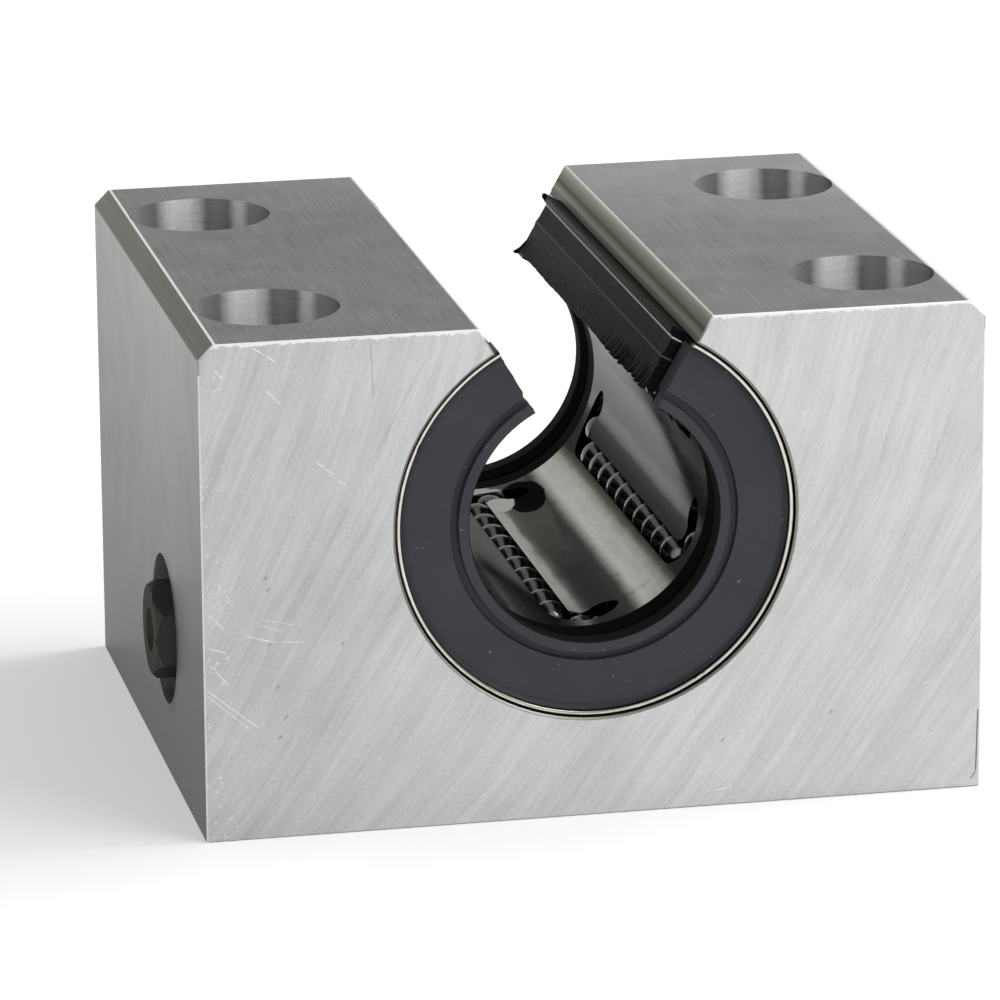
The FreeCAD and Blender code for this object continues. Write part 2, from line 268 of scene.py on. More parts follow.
# sizes in mm; a noise is its scale, detail and roughness; a limit pair runs from none to all of a finish
aluminiumLook = {
    # the faces' tones differ partly by their machining and partly as painted shade: the top, sides and
    # chamfers are darker than the front
    "front": tone(200, 202, 201),
    "top": tone(157, 157, 155),
    "side": tone(178, 179, 174),
    "chamfer": tone(144, 144, 134),
    "burrAndGlint": tone(255, 255, 252),
    "soilAndShade": tone(56, 56, 52),
    "pocket": tone(140, 142, 130),
    "seat": tone(120, 120, 110),
    "roughness": {"base": 0.42, "grain": 0.12, "hole": -0.10},
    "metallic": {"base": 0.9, "hole": -0.8, "light": -0.6},
    "relief": {"streaks": 0.6, "grain": 0.2},
    "bump": (0.03 * mm, 0.5),
    "grain": (3.2, 3.0, 0.65),
    "mottle": (0.16, 2.0, 0.5),
    "ragged": (1.1, 3.0, 0.6),
    # how squarely a face looks along an axis
    "endFacing": (0.86, 0.93),
    "sideFacing": (0.93, 0.97),
    "brokenFacing": (0.3, 0.4),
    "chamferFacing": (0.5, 0.6, 0.78, 0.82),
    "flankFacing": (0.8, 0.84, 0.9, 0.93),
    # radii, heights, and depths below the top or in from a side
    "holeRadius": (7.25, 7.27),
    "seatRadius": (20.3, 20.5),
    "holeFloor": 0.05,
    "chamferReach": 3,
    "flankReach": 4,
    "pocketInset": 0.2,
    "pocketDepth": 20,
    "brokenDepths": (1.5, 0.5),
    "brokenLight": (0.2, 0.9),
    # the cutter's arcs: scale across and along them, detail and roughness
    "cutterRadius": 130.0,
    "cutterHeight": 85.0,
    "wander": (0.05, 1.0),
    "wanderReach": 3.0,
    "fineArcs": (2.3, 0.12, 4.0, 0.7),
    "broadArcs": (0.5, 0.03, 2.0, 0.5),
    "hairArcs": (2.6, 0.14, 2.0, 0.6),
    "hairLimits": (0.15, 0.26),
    # the front's left, high and right terms are painted light: darker to the left, lighter towards the top
    # and the right
    "frontTone": {
        "base": 0.985, "fine": 0.44, "broad": 0.28, "grain": 0.3, "mottle": 0.16, "hairs": -0.09,
        "left": -0.13, "high": 0.05, "right": 0.05,
    },
    "frontLeft": (4.0, 44.0),
    "frontHigh": (20.0, 50.0),
    "frontRight": (20.0, 85.0),
    "topStreaks": ((3.6, 0.10, 1.0), 4.0, 0.7),
    "topCross": ((0.12, 3.0, 1.0), 2.0, 0.6),
    # the top's right and back terms are painted light
    "topTone": {
        "base": 0.97, "fine": 1.05, "cross": 0.36, "grain": 0.5, "mottle": 0.5, "right": 0.14, "back": 0.5,
    },
    "topRight": (-10.0, 20.0),
    "topBack": (3.0, 45.0),
    "topLean": 0.5,
    "sideStreaks": ((1.0, 2.2, 0.12), 3.0, 0.6),
    # the sides' front term and their foot are painted shade, darker near the front edge and towards the foot
    "sideTone": {"base": 0.77, "fine": 0.2, "mottle": 0.24, "grain": 0.24, "front": -0.13},
    "sideFront": (0.0, 20.0),
    "sideLeast": 0.24,
    "foot": {"curve": 1.6, "left": 0.61, "right": 0.21},
    "drawn": ((3.0, 0.05, 3.0), 2.0, 0.6),
    # the chamfers and flanks are painted lighter towards the back
    "chamferTone": {"base": 0.92, "drawn": 0.55, "grain": 0.2, "back": 0.004},
    "flankTone": {"base": 0.92, "drawn": 0.6, "grain": 0.2, "back": 0.004},
    "flankDepth": 3.0,
    "flankRagged": 0.12,
    # bands down the flank from its top: drawing lines, partly painted highlight and shade
    "flankBands": [
        (0.0, tone(240, 240, 226)), (0.07, tone(186, 186, 168)), (0.22, tone(150, 150, 130)),
        (0.38, tone(116, 116, 100)), (0.46, tone(56, 56, 46)), (0.53, tone(104, 104, 88)),
        (0.68, tone(160, 160, 140)), (0.76, tone(120, 120, 104)), (0.88, tone(70, 70, 60)),
    ],
    "rings": (6.0, 3.0, 0.7),
    "ringLean": 0.05,
    "holeRagged": 5.0,
    "holeTone": {"base": 0.95, "rings": 0.6, "grain": 0.3},
    # painted reflections round each bored hole, by clock angle
    "holeDial": [
        (0, tone(255)), (4, tone(236)), (8, tone(222)), (15, tone(132)), (22, tone(146)), (34, tone(134)),
        (40, tone(232)), (46, tone(240)), (54, tone(164)), (80, tone(136)), (94, tone(70)),
        (106, tone(225)), (240, tone(225)), (276, tone(120)), (300, tone(144)), (318, tone(132)),
        (330, tone(126)), (341, tone(232)), (346, tone(255)),
    ],
    # bright edges: burrs, with painted highlights on the edge breaks and ridges
    "lightStrength": 0.96,
    "topBurrAndGlint": {"ragged": 0.9, "depths": (0.38, 0.24)},
    "ridge": {"ragged": 0.08, "inset": 1.66, "half": 0.11, "soft": 0.08, "strength": 0.95},
    "slotRidge": {"ragged": 0.2, "half": 0.12, "soft": 0.10, "strength": 0.8},
    # dark edges: painted shade under the chamfer and round the pocket's rim, and the seam with painted shade
    "under": {"ragged": 0.25, "depths": (1.75, 1.62), "strength": 0.75},
    "seamAndShade": {"ragged": 0.06, "radius": (20.14, 20.28), "strength": 0.8},
    "pocketRim": {"radius": (8.0, 9.2), "back": (-5.0, 1.0), "strength": 0.9},
}

# marks on the front face: x and z of both ends, width and strength
frontMarks = {
    "scratches": [
        (-34.9, 20.8, -32.2, 20.0, 0.09, 0.9), (-32.2, 20.0, -29.1, 19.8, 0.08, 0.8),
        (-38.8, 15.6, -33.6, 11.3, 0.09, 0.7), (-38.8, 15.1, -34.6, 11.3, 0.08, 0.6),
        (-38.5, 18.1, -36.5, 15.9, 0.11, 0.6), (-38.5, 19.8, -36.5, 19.1, 0.09, 0.7),
        (-38.7, 23.4, -36.9, 21.6, 0.10, 0.6), (-33.5, 22.4, -30.1, 21.6, 0.08, 0.5),
        (-33.4, 21.8, -31.2, 21.0, 0.07, 0.5), (-33.7, 49.5, -31.4, 47.9, 0.11, 0.9),
        (-32.5, 45.2, -30.7, 43.4, 0.10, 0.8), (-27.9, 38.0, -26.0, 36.4, 0.09, 0.9),
        (-25.6, 35.8, -24.8, 35.2, 0.09, 0.7), (-33.6, 38.7, -32.8, 37.9, 0.08, 0.5),
        (-37.4, 47.4, -36.6, 46.6, 0.16, 0.8), (32.7, 11.0, 33.6, 11.3, 0.09, 0.8),
        (11.9, 1.6, 13.6, 1.9, 0.10, 0.5),
    ],
    "lines": [
        (-22.2, 49.6, -22.0, 44.0, 0.07, 0.35),
        (-16.9, 47.2, -22.2, 37.5, 0.06, 0.25),
        (38.7, 8.2, 38.55, 1.6, 0.10, 0.8),
        (38.55, 1.6, 38.0, 0.8, 0.10, 0.7),
    ],
    "core": 0.35,  # share of the width at full strength
    "ends": (-0.25, 0.1),  # a mark fades out from inside its end to past it
    "breaks": ((1.6, 3.0, 0.7), (-0.16, 0.08)),
    "scratchStrength": 0.75,
    "pits": [
        (-32.8, 26.5), (-32.6, 25.3), (-32.5, 19.8), (-31.8, 15.4), (-31.0, 12.3),
        (-31.6, 10.3), (-25.3, 19.4), (12.6, 6.8), (23.6, 8.9), (-12.8, 34.0),
    ],
    "pitShape": (1.48, 0.84, 0.6),  # narrower, taller and leaning
    "pitEdge": (0.04, 0.32, 0.42),
    "specks": ((1.9, 2.0, 0.7), (0.13, 0.24)),
    "speckEdge": (0.3, 4.5),
    "speckStrength": 0.6,
}


def makeMarks(paint, place, x, z, halfWidth):
    marks = frontMarks
    drawn = {"scratches": 0.0, "lines": 0.0}
    for kind in drawn:
        for startX, startZ, endX, endZ, width, strength in marks[kind]:
            length = math.hypot(endX - startX, endZ - startZ)
            alongX = (endX - startX) / length
            alongZ = (endZ - startZ) / length
            centre = startX * alongX + startZ * alongZ + length / 2
            onward = abs(paint.reach(place, alongX, alongZ) - centre)
            aside = abs(paint.reach(place, alongZ, -alongX) - (startX * alongZ - startZ * alongX))
            mark = paint.fade(aside, width * marks["core"], width, strength)
            mark = mark * paint.fade(onward, *(length / 2 + end for end in marks["ends"]))
            drawn[kind] = mark + drawn[kind]
    light = drawn["scratches"] * paint.patches(place, *marks["breaks"]) * marks["scratchStrength"]
    dark = drawn["lines"]
    wide, tall, lean = marks["pitShape"]
    leaning = paint.join((x - z * lean) * wide, 0.0, z * tall)
    for pitX, pitZ in marks["pits"]:
        off = paint.distance(leaning, ((pitX - pitZ * lean) * wide, 0.0, pitZ * tall))
        dark = paint.fade(off, *marks["pitEdge"]) + dark
    nearLeft = paint.fade(x + halfWidth, *marks["speckEdge"])
    specks = paint.patches(place, *marks["specks"]) * nearLeft * marks["speckStrength"]
    return light + specks, dark


def makeAluminium():
    look = aluminiumLook
    paint = newPaint("machinedAluminium")
    place = paint.place()
    x, y, z = paint.axes(place)
    nx, ny, nz = paint.axes(paint.normal())
    flatX, flatY = abs(nx), abs(ny)
    height = blockHigh.z / mm
    halfWidth = blockHigh.x / mm
    grain = paint.noise(place, *look["grain"])
    mottle = paint.noise(place, *look["mottle"])
    ragged = paint.noise(place, *look["ragged"])

    def depths(pair):
        return [height - depth for depth in pair]

    # which face a point is on
    holeX = x - paint.maths("SIGN", x) * (screwsApart[0] / 2)
    holeY = y - paint.maths("SIGN", y) * (screwsApart[1] / 2)
    inHole = paint.fade(away(holeX, holeY), *look["holeRadius"]) * (z > look["holeFloor"])
    outside = 1.0 - inHole
    ends = paint.step(flatY, *look["endFacing"]) * outside
    brokenEdge = paint.step(flatY, *look["brokenFacing"]) * (1.0 - ends) * outside
    brokenEdge = brokenEdge * paint.slide(z, *depths(look["brokenDepths"]), *look["brokenLight"])
    top = paint.step(nz, *look["endFacing"]) * outside
    sides = paint.step(flatX, *look["sideFacing"]) * outside
    chamfer = paint.between(flatX, *look["chamferFacing"]) * (z > height - look["chamferReach"]) * outside
    flank = paint.between(flatX, *look["flankFacing"]) * (z > height - look["flankReach"]) * outside
    inPocket = (abs(x) < halfWidth - look["pocketInset"]) * outside * (z < height - look["pocketDepth"])
    front = ends * (ny < 0.0)

    # arcs of the cutter, one beside the other across the end faces
    rise = look["cutterHeight"] - z
    across = x - (look["cutterRadius"] ** 2 - rise * rise) ** 0.5
    across = across + paint.noise(place, *look["wander"]) * look["wanderReach"]

    def arcs(acrossScale, alongScale, detail, roughness):
        bent = paint.join(across * acrossScale, z * alongScale, y)
        return paint.noise(bent, 1.0, detail, roughness)

    fine = arcs(*look["fineArcs"])
    # the end tone holds painted light: darker to the left, lighter towards the top and the right
    endTone = weigh(
        look["frontTone"], fine=fine, broad=arcs(*look["broadArcs"]), grain=grain, mottle=mottle,
        hairs=paint.step(arcs(*look["hairArcs"]), *look["hairLimits"]),
        left=paint.step(-x, *look["frontLeft"]), high=paint.step(z, *look["frontHigh"]),
        right=paint.step(x + z, *look["frontRight"]),
    )
    endColour = paint.shade(look["front"], endTone)

    # the milled top, drawn out along the shaft, with painted light making it lighter towards the right and
    # the back
    topFine = paint.streaks(place, *look["topStreaks"])
    topTone = weigh(
        look["topTone"], fine=topFine, cross=paint.streaks(place, *look["topCross"]),
        grain=grain, mottle=mottle, right=paint.step(x, *look["topRight"]),
        back=paint.step(y + x * look["topLean"], *look["topBack"]),
    )
    topColour = paint.shade(look["top"], topTone)

    # the sawn sides, with painted shade making them darker towards the foot and near the front edge
    foot = look["foot"]
    footDark = foot["left"] - (x > 0.0) * (foot["left"] - foot["right"])
    sideTone = weigh(
        look["sideTone"], fine=paint.streaks(place, *look["sideStreaks"]), mottle=mottle, grain=grain,
        front=paint.fade(y - blockLow.y / mm, *look["sideFront"]),
    )
    sideTone = sideTone - (1.0 - (z / height) ** foot["curve"]) * footDark
    sideColour = paint.shade(look["side"], paint.maths("MAXIMUM", sideTone, look["sideLeast"]))

    # chamfers and flanks: painted lighter towards the back, the flank with painted highlight and shade in its
    # bands
    drawn = paint.streaks(place, *look["drawn"])
    chamferTone = weigh(look["chamferTone"], drawn=drawn, grain=grain, back=y)
    chamferColour = paint.shade(look["chamfer"], chamferTone)
    flankDown = (height - z + ragged * look["flankRagged"]) / look["flankDepth"]
    flankTone = weigh(look["flankTone"], drawn=drawn, grain=grain, back=y)
    flankColour = paint.shade(paint.ramp(flankDown, look["flankBands"]), flankTone)

    # the bored holes have painted reflections in bands round them, with rings left by the cutter
    rings = paint.noise(paint.join(holeX * look["ringLean"], holeY * look["ringLean"], z), *look["rings"])
    aroundHole = clockAngle(holeX, holeY) + ragged * look["holeRagged"]
    boreColour = paint.dial(aroundHole, look["holeDial"])
    boreColour = paint.shade(boreColour, weigh(look["holeTone"], rings=rings, grain=grain))
    boreColour = paint.mix(inPocket, boreColour, look["pocket"])

    onSide = sides * (1.0 - inPocket)
    colour = paint.mix(ends, boreColour, endColour)
    colour = paint.mix(top, colour, topColour)
    colour = paint.mix(onSide, colour, sideColour)
    colour = paint.mix(chamfer, colour, chamferColour)
    colour = paint.mix(flank, colour, flankColour)
    toAxis = away(x, z - boreAxis / mm)
    seat = paint.fade(toAxis, *look["seatRadius"]) * (1.0 - ends)
    colour = paint.mix(seat, colour, look["seat"])

    # bright burrs along the edges, with painted highlights on the edge breaks, the top edge and the ridges
    light, dark = makeMarks(paint, place, x, z, halfWidth)
    burrAndGlint = look["topBurrAndGlint"]
    topEdge = paint.step(z + ragged * burrAndGlint["ragged"], *depths(burrAndGlint["depths"])) * front
    light = light * front + brokenEdge + topEdge
    slotEdge = (height - boreAxis / mm) * math.tan(slotSlope)
    for ridge, middle in ((look["ridge"], halfWidth - look["ridge"]["inset"]), (look["slotRidge"], slotEdge)):
        line = paint.band(abs(x) + ragged * ridge["ragged"], middle, ridge["half"], ridge["soft"]) * top
        light = light + line * ridge["strength"]
    light = paint.maths("MINIMUM", light, 1.0)
    colour = paint.mix(light * look["lightStrength"], colour, look["burrAndGlint"])

    # painted shade as dark lines under the chamfer and round the pocket's front rim, and the seam round the
    # bearing's seat darkened partly as painted shade
    under, seamAndShade, rim = look["under"], look["seamAndShade"], look["pocketRim"]
    underLine = sides * paint.step(z + ragged * under["ragged"], *depths(under["depths"]))
    seamAndShadeLine = paint.fade(toAxis + ragged * seamAndShade["ragged"], *seamAndShade["radius"])
    rimY = y - nippleAxis.y / mm
    rimLine = paint.fade(away(rimY, z - nippleAxis.z / mm), *rim["radius"]) * paint.fade(rimY, *rim["back"])
    rimLine = rimLine * onSide * (x < 0.0)
    dark = (dark + seamAndShadeLine * seamAndShade["strength"]) * front + underLine * under["strength"]
    dark = dark + rimLine * rim["strength"]
    colour = paint.mix(dark, colour, look["soilAndShade"])

    roughness = weigh(look["roughness"], grain=grain, hole=inHole)
    metallic = weigh(look["metallic"], hole=inHole, light=light)
    relief = (fine * ends + topFine * top) * look["relief"]["streaks"] + grain * look["relief"]["grain"]
    return paint.finish(look, colour, roughness, metallic, relief)


# clock angles round the bore in degrees, places along it in mm
retainerLook = {
    # the dial's bands round the bore are painted reflections
    "dial": [
        (34, tone(50)), (66, tone(18)), (72, tone(84, 84, 76)), (79.5, tone(14)), (83, tone(96, 96, 92)),
        (101, tone(92, 92, 88)), (105, tone(116, 116, 112)), (108.5, tone(100, 100, 96)),
        (111, tone(14, 14, 17)), (121, tone(10, 10, 13)), (130.5, tone(24, 25, 18)),
        (134, tone(112, 114, 96)), (136.5, tone(200, 201, 188)), (140.5, tone(236, 237, 230)),
        (148.5, tone(255, 255, 250)), (151, tone(196, 197, 190)), (154, tone(76, 78, 74)),
        (158.5, tone(56, 57, 56)), (165, tone(38, 40, 40)), (170.5, tone(50, 52, 48)),
        (173.5, tone(130, 131, 124)), (176, tone(228, 229, 222)), (182, tone(238, 239, 232)),
        (189, tone(30)), (193, tone(96, 97, 88)), (200, tone(56)), (204, tone(48)), (208, tone(150)),
        (210.5, tone(235, 235, 224)), (213, tone(84)), (326, tone(60)),
    ],
    "smear": ((0.8, 0.12, 0.8), 3.0, 0.65),
    "cloud": (0.3, 3.0, 0.6),
    "specks": (2.6, 2.0, 0.7),
    "dialCloud": 2.4,
    "dialSmear": 1.6,
    "tones": {"base": 0.96, "specks": 0.2, "smear": 0.5, "cloud": 0.25},
    "oil": tone(96, 96, 70),
    "oilSmear": 0.5,
    "oilLimits": (0.10, 0.30),
    "oilStrength": 0.35,
    # a painted sheen that lightens the dark band towards the rear
    "sheen": tone(112, 113, 100),
    "sheenBand": (166.0, 6.0, 5.0),
    "sheenAlong": (-9.0, 10.0),
    "sheenSmear": 14.0,
    "sheenCloud": 16.0,
    "sheenStrength": 0.62,
    # a dark matt spot and a painted highlight: middle and half width round the bore, middle and half length
    # along it
    "pool": (162.5, 10.0, 19.5, 5.6),
    "poolTone": tone(9, 10, 12),
    "tongue": (174.5, 7.5, 20.5, 4.4),
    "tongueTone": tone(236, 237, 230),
    "spotRagged": 0.35,
    "spotEdge": (0.92, 1.04),
    "roughness": {"base": 0.18, "smear": 0.14, "matt": 0.5},
    "reliefSpecks": 0.3,
    "bump": (0.02 * mm, 0.35),
    "edge": 0.6,
}


def makePolishedSteel():
    look = retainerLook
    paint = newPaint("polishedSteel")
    place = paint.place()
    x, y, z = paint.axes(place)
    smear = paint.streaks(place, *look["smear"])
    cloud = paint.noise(place, *look["cloud"])
    specks = paint.noise(place, *look["specks"])
    degrees = clockAngle(x, z - boreAxis / mm)
    # the colour round the bore is painted reflections, looked up by clock angle
    colour = paint.dial(degrees + cloud * look["dialCloud"] + smear * look["dialSmear"], look["dial"])
    colour = paint.shade(colour, weigh(look["tones"], specks=specks, smear=smear, cloud=cloud))
    oil = paint.step(cloud + smear * look["oilSmear"], *look["oilLimits"]) * look["oilStrength"]
    colour = paint.mix(oil, colour, look["oil"])
    # painted sheen, lighter towards the rear
    sheen = paint.band(degrees + smear * look["sheenSmear"], *look["sheenBand"])
    sheen = sheen * paint.step(y + cloud * look["sheenCloud"], *look["sheenAlong"])
    colour = paint.mix(sheen * look["sheenStrength"], colour, look["sheen"])
    # a dark matt spot and a painted highlight laid over the reflections
    covered = {}
    for name in ("pool", "tongue"):
        middle, reach, along, length = look[name]
        off = away((degrees - middle) / reach, (y - along) / length)
        covered[name] = paint.fade(off + cloud * look["spotRagged"], *look["spotEdge"])
        colour = paint.mix(covered[name], colour, look[name + "Tone"])
    matt = covered["pool"] * (1.0 - covered["tongue"])
    roughness = weigh(look["roughness"], smear=smear, matt=matt)
    return paint.finish(look, colour, roughness, 1.0, smear + specks * look["reliefSpecks"])


caseLook = {
    "steel": tone(214, 211, 200),
    # covers the case outside its highlight line: the seam with the housing, and painted shade
    "seamAndShade": tone(30, 30, 26),
    "wear": (0.9, 3.0, 0.6),
    "tones": {"base": 0.93, "wear": 0.6},
    "highlightLine": (0.40, 0.09, 0.07),  # mm in from the rim, half its width, its soft edge
    "seamAndShadeRagged": 0.06,
    "seamAndShadeStrength": 0.95,
    "roughness": {"base": 0.15, "wear": 0.14},
    "bump": (0.01 * mm, 0.3),
}


# the case is painted dark, with one thin painted highlight line near its rim; the dark is partly the seam
# with the housing and partly painted shade
def makeCaseSteel():
    look = caseLook
    paint = newPaint("caseSteel")
    place = paint.place()
    x, z = paint.axes(place, "XZ")
    wear = paint.noise(place, *look["wear"])
    inward = bearingRadius / mm - away(x, z - boreAxis / mm) + wear * look["seamAndShadeRagged"]
    seamAndShade = 1.0 - paint.band(inward, *look["highlightLine"])
    colour = paint.shade(look["steel"], weigh(look["tones"], wear=wear))
    colour = paint.mix(seamAndShade * look["seamAndShadeStrength"], colour, look["seamAndShade"])
    return paint.finish(look, colour, weigh(look["roughness"], wear=wear), 1.0, wear)


# radii in mm
sealLook = {
    "dark": tone(56, 58, 63),
    "light": tone(74, 77, 83),
    # the lip tone is painted shade inside the bore
    "lip": tone(5, 5, 6),
    "dust": tone(150, 152, 150),
    "cloud": (0.12, 3.0, 0.55),
    "grain": (4.5, 3.0, 0.6),
    "turned": (3.0, 2.0, 0.6),
    "lightness": {"base": 0.4, "cloud": 0.9},
    "tones": {"base": 0.9, "grain": 0.3, "turned": 0.10},
    "dustPatches": ((1.55, 1.0), (0.265, 0.30)),
    "dustStrength": 0.5,
    "rimShade": (18.6, 19.3, 1.0, 0.6),  # darker between two radii, from one tone to the other
    "lipFacing": (-0.75, -0.5),
    "lipRadius": (13.2, 13.4),
    "backInset": 3.0,
    "backRadius": 14.0,
    "lipStrength": 0.95,
    "roughness": {"base": 0.5, "grain": 0.14, "lip": 0.4},
    "reliefTurned": 0.4,
    "bump": (0.02 * mm, 0.5),
    "specular": 0.25,
}


def makeSealRubber():
    look = sealLook
    paint = newPaint("sealRubber")
    place = paint.place()
    x, y, z = paint.axes(place)
    nx, nz = paint.axes(paint.normal(), "XZ")
    rise = z - boreAxis / mm
    fromAxis = away(x, rise)
    inward = (nx * x + nz * rise) / fromAxis
    cloud = paint.noise(place, *look["cloud"])
    grain = paint.noise(place, *look["grain"])
    turned = paint.noise(paint.join(fromAxis, 0.0, 0.0), *look["turned"])
    colour = paint.mix(weigh(look["lightness"], cloud=cloud), look["dark"], look["light"])
    colour = paint.shade(colour, weigh(look["tones"], grain=grain, turned=turned))
    dust = paint.patches(place, *look["dustPatches"])
    colour = paint.mix(dust * look["dustStrength"], colour, look["dust"])
    colour = paint.shade(colour, paint.slide(fromAxis, *look["rimShade"]))
    # painted shade: the lip's inward faces and the seal rubber deep in the bore are near black
    lip = paint.fade(inward, *look["lipFacing"]) * paint.fade(fromAxis, *look["lipRadius"])
    back = (abs(y) < blockHigh.y / mm - look["backInset"]) * (fromAxis < look["backRadius"])
    lip = paint.maths("MAXIMUM", lip, back)
    colour = paint.mix(lip * look["lipStrength"], colour, look["lip"])
    roughness = weigh(look["roughness"], grain=grain, lip=lip)
    return paint.finish(look, colour, roughness, 0.0, grain + turned * look["reliefTurned"])


nippleLook = {
    "flats": tone(80, 80, 78),
    "face": tone(62, 62, 52),
    "grain": (1.4, 3.0, 0.6),
    "mouthRadius": (2.6, 2.9),
    "faceFacing": (0.8, 0.95),
    "tones": {"base": 0.95, "grain": 0.5},
    "roughness": {"base": 0.5, "grain": 0.2},
    "metallic": 0.6,
    "bump": (0.03 * mm, 0.4),
    "specular": 0.2,
    "edge": 0.2,
    "turn": 30,
}


def makeNippleSteel():
    look = nippleLook
    paint = newPaint("nippleSteel")
    place = paint.place()
    [nx] = paint.axes(paint.normal(), "X")
    y, z = paint.axes(place, "YZ")
    grain = paint.noise(place, *look["grain"])
    mouth = paint.fade(away(y - nippleAxis.y / mm, z - nippleAxis.z / mm), *look["mouthRadius"])
    face = paint.maths("MAXIMUM", mouth, paint.step(abs(nx), *look["faceFacing"]))
    colour = paint.mix(face, look["flats"], look["face"])
    colour = paint.shade(colour, weigh(look["tones"], grain=grain))
    return paint.finish(look, colour, weigh(look["roughness"], grain=grain), look["metallic"], grain)


# plain finishes with one noise each: its scales, detail and roughness, and its share of tone and roughness
plainLooks = {
    "groundSteel": {
        "colour": tone(150, 151, 148), "metallic": 1.0, "bump": (0.01 * mm, 0.4),
        "noise": ((0.2, 6.0, 0.2), 3.0, 0.6), "shade": 0.2, "roughness": {"base": 0.28, "noise": 0.1},
    },
    "blackPlastic": {
        "colour": tone(7, 7, 8), "metallic": 0.0, "specular": 0.1, "bump": (0.01 * mm, 0.4),
        "noise": ((5.0, 5.0, 5.0), 3.0, 0.6), "shade": 0.3, "roughness": {"base": 0.85, "noise": 0.1},
    },
    "springSteel": {
        "colour": tone(150, 148, 140), "metallic": 1.0,
        "noise": ((2.0, 2.0, 2.0), 2.0, 0.6), "shade": 0.2, "roughness": {"base": 0.25, "noise": 0.06},
    },
    "ballSteel": {
        "colour": tone(128, 128, 126), "metallic": 1.0,
        "noise": ((0.8, 0.8, 0.8), 2.0, 0.6), "shade": 0.2, "roughness": {"base": 0.2, "noise": 0.06},
    },
}


def makePlain(name):
    look = plainLooks[name]
    paint = newPaint(name)
    noise = paint.streaks(paint.place(), *look["noise"])
    colour = paint.shade(look["colour"], 1.0 + noise * look["shade"])
    roughness = weigh(look["roughness"], noise=noise)
    return paint.finish(look, colour, roughness, look["metallic"], noise if "bump" in look else None)


# the slot strips' sections and wear; the left one sits deeper by the sink
stripSizes = {
    "base": 1.6 * mm,
    "stand": 1.05 * mm,
    "beadStand": 1.65 * mm,
    "beadWidth": 0.95 * mm,
    "beadCorner": (0.16 * mm, 0.22 * mm),
    "beadCrown": (0.55, 0.12 * mm),
    "ribDrop": 3.1 * mm,
    "rib": 0.10 * mm,
    "ribWidth": 0.5 * mm,
    "lipStand": 1.75 * mm,
    "lipWidth": 1.7 * mm,
    "lipGap": 0.3 * mm,
    "lipRoot": (1.1, 0.03 * mm),
    "lipMiddle": (0.45, 0.28 * mm, 0.5),
    "lipTip": 0.08 * mm,
    "lipHeel": (0.6, 0.45),
    "footGap": 0.55 * mm,
    "sink": 1.3 * mm,
    "stations": 260,
    "crease": 32,
    "waves": 6,
    "phaseReach": 6.28,
    "waveCounts": (5, 9),
    "waveScale": 2.2,
    "wear": 0.07 * mm,
    "torn": 0.34 * mm,
    "tornFrom": -0.3,
    "tornOver": 0.2,
    "roughShare": 0.4,
    "riseShare": 0.5,
    "tears": [
        (-0.93, 0.9), (-0.86, 0.7), (-0.80, 0.8), (-0.71, 0.5), (-0.62, 0.6), (-0.5, 0.35), (0.955, 0.6),
    ],
    "tearReach": 0.024,
    "tearDepth": 0.7 * mm,
    "furthestOut": -0.2 * mm,
    "cutBack": 0.35 * mm,
    "cutDown": 0.45 * mm,
    "tab": (0.985, 0.35 * mm),
}


# smooth shading with sharp edges above a crease angle in degrees
def shadeMesh(mesh, crease):
    mesh.shade_smooth()
    mesh.set_sharp_from_angle(angle=math.radians(crease))
    return mesh


# (distance out along the flank, height off it) points round the strip
def stripOutline(lipShift, lipRise, beadRise):
    size = stripSizes
    stand = size["stand"]
    beadStand = size["beadStand"] + beadRise
    bead = math.sqrt(bearingRadius ** 2 - size["beadStand"] ** 2)
    cornerIn, cornerDown = size["beadCorner"]
    crownShare, crownDown = size["beadCrown"]
    rib = bead - size["ribDrop"]
    lip = shaftRadius + size["lipGap"] + lipShift
    rootShare, rootDown = size["lipRoot"]
    middleShare, middleUp, middleRise = size["lipMiddle"]
    heelOut, heelUp = size["lipHeel"]
    foot = shaftRadius + size["lipGap"] + size["footGap"]
    return [
        (math.sqrt(bearingRadius ** 2 - size["base"] ** 2), -size["base"]),
        (bead, 0.0),
        (bead, beadStand - cornerDown),
        (bead - cornerIn, beadStand),
        (bead - size["beadWidth"] * crownShare, beadStand - crownDown),
        (bead - size["beadWidth"], stand),
        (rib + size["ribWidth"], stand),
        (rib, stand + size["rib"]),
        (rib - size["ribWidth"], stand),
        (lip + size["lipWidth"] * rootShare, stand - rootDown),
        (lip + size["lipWidth"] * middleShare, stand + middleUp + lipRise * middleRise),
        (lip + size["lipTip"], size["lipStand"] + lipRise),
        (lip, size["lipStand"] - size["lipGap"] + lipRise),
        (lip + size["footGap"] * heelOut, size["lipStand"] * heelUp),
        (foot, 0.0),
        (foot, -size["base"]),
    ]


